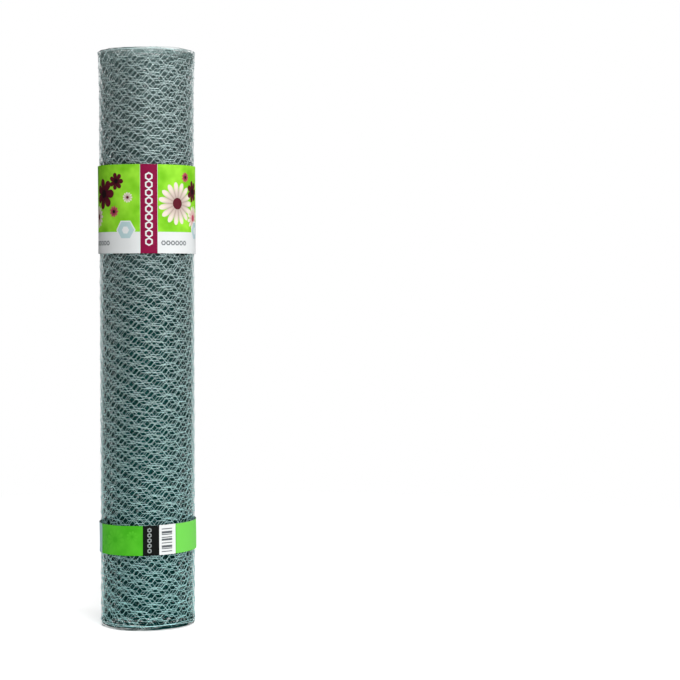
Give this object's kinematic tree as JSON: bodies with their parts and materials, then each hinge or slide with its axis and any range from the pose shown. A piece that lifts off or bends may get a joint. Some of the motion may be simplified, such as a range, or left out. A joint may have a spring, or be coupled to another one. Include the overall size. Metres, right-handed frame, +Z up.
{
  "type": "roll of chicken wire",
  "caption": "Upright roll of galvanised hexagonal wire netting with a hollow centre, wrapped by a wide and a narrow printed paper band.",
  "frame": {"origin": "on the roll's axis, in the plane of the end it stands on", "axes": "+Z up along the roll's axis, -Y towards the front of the paper bands"},
  "size_m": [0.1708, 0.1708, 1.013],
  "materials": {
    "galvanised_wire": "dull galvanised zinc",
    "upper_band_paper": "printed coated paper",
    "lower_band_paper": "printed coated paper"
  },
  "bodies": {
    "root": {"netting_roll": "galvanised_wire", "upper_band": "upper_band_paper", "lower_band": "lower_band_paper"}
  },
  "joints": []
}
